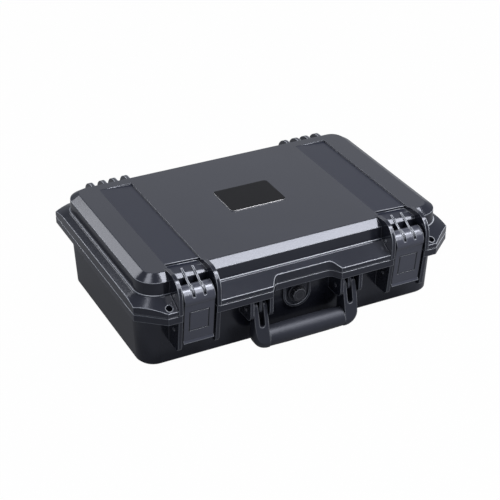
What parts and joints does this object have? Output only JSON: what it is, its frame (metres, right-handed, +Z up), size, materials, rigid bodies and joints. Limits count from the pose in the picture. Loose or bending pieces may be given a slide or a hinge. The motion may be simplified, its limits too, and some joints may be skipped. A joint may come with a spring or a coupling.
{
  "type": "hard case",
  "caption": "Moulded hard carrying case with a hinged lid, hooked swing latches with push buttons, a folding front handle and a pressure valve.",
  "frame": {"origin": "centre of the base tub's flat underside", "axes": "+X along the length of the case, +Y from the front with the latches to the back with the hinges, +Z up"},
  "size_m": [0.43, 0.3185, 0.1295],
  "materials": {
    "shell_plastic": "fine grained",
    "latch_plastic": "satin",
    "handle_plastic": "fine grained",
    "grip_rubber": "satin",
    "seal_rubber": "matte",
    "pin_steel": "turned",
    "plate_plastic": "gloss",
    "valve_plastic": "satin",
    "membrane_cloth": "matte"
  },
  "bodies": {
    "base": {"base_shell": "shell_plastic", "strike_pin_left": "pin_steel", "strike_pin_right": "pin_steel", "handle_pin_left": "pin_steel", "handle_pin_right": "pin_steel", "hinge_pin_left": "pin_steel", "hinge_pin_right": "pin_steel", "valve_body": "valve_plastic", "valve_nut": "valve_plastic", "valve_membrane": "membrane_cloth"},
    "lid": {"lid_shell": "shell_plastic", "lid_gasket": "seal_rubber", "name_plate": "plate_plastic", "latch_pin_left": "pin_steel", "latch_pin_right": "pin_steel"},
    "latch_left": {"latch_body_left": "latch_plastic", "rocker_pin_left": "pin_steel"},
    "latch_right": {"latch_body_right": "latch_plastic", "rocker_pin_right": "pin_steel"},
    "button_left": {"latch_button_left": "latch_plastic"},
    "button_right": {"latch_button_right": "latch_plastic"},
    "handle": {"handle_frame": "handle_plastic", "handle_grip": "grip_rubber"},
    "valve_knob": {"valve_knob": "valve_plastic", "valve_knob_ring": "seal_rubber"}
  },
  "joints": [
    {"name": "lid_hinge", "type": "hinge", "parent": "base", "child": "lid", "pos_m": [0, 0.1535, 0.0852], "axis": [-1, 0, 0], "range_deg": [0, 105]},
    {"name": "latch_left_swing", "type": "hinge", "parent": "lid", "child": "latch_left", "pos_m": [-0.1427, -0.1406, 0.1054], "axis": [-1, 0, 0], "range_deg": [0, 100]},
    {"name": "latch_right_swing", "type": "hinge", "parent": "lid", "child": "latch_right", "pos_m": [0.1427, -0.1406, 0.1054], "axis": [-1, 0, 0], "range_deg": [0, 100]},
    {"name": "button_left_press", "type": "hinge", "parent": "latch_left", "child": "button_left", "pos_m": [-0.1427, -0.1458, 0.061], "axis": [-1, 0, 0], "range_deg": [0, 6], "stiffness_Nm_per_rad": 0.5},
    {"name": "button_right_press", "type": "hinge", "parent": "latch_right", "child": "button_right", "pos_m": [0.1427, -0.1458, 0.061], "axis": [-1, 0, 0], "range_deg": [0, 6], "stiffness_Nm_per_rad": 0.5},
    {"name": "handle_swing", "type": "hinge", "parent": "base", "child": "handle", "pos_m": [0, -0.139, 0.0595], "axis": [-1, 0, 0], "range_deg": [0, 100]},
    {"name": "valve_knob_turn", "type": "hinge", "parent": "base", "child": "valve_knob", "pos_m": [0, -0.1275, 0.0544], "axis": [0, -1, 0], "range_deg": [0, 270]}
  ]
}
